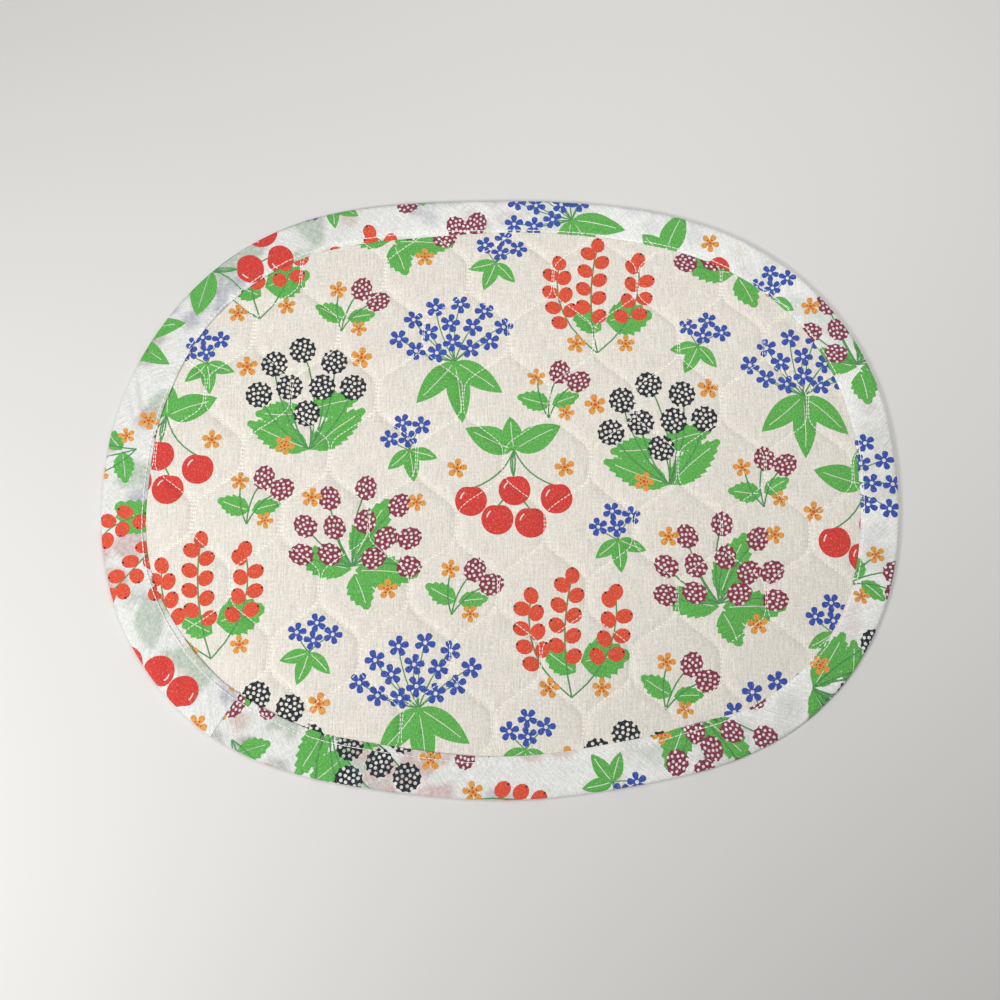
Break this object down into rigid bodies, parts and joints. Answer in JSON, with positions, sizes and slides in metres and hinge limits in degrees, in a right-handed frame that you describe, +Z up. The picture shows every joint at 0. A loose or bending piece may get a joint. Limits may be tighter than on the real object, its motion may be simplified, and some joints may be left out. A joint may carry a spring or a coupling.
{
  "type": "quilted fabric placemat",
  "caption": "Oval quilted cotton placemat with onion-shaped quilting and a wide bias binding, lying flat.",
  "frame": {"origin": "middle of the oval's underside, on the surface that the mat lies on", "axes": "+X along the oval's length, +Z up out of the printed face"},
  "size_m": [0.4565, 0.3536, 0.0043],
  "materials": {
    "panel_cloth": "cream cotton plain weave with a berry and leaf print, quilted",
    "binding_cloth": "white cotton bias strip of the same print, topstitched"
  },
  "bodies": {
    "root": {"quilted_panel": "panel_cloth", "edge_binding": "binding_cloth"}
  },
  "joints": []
}
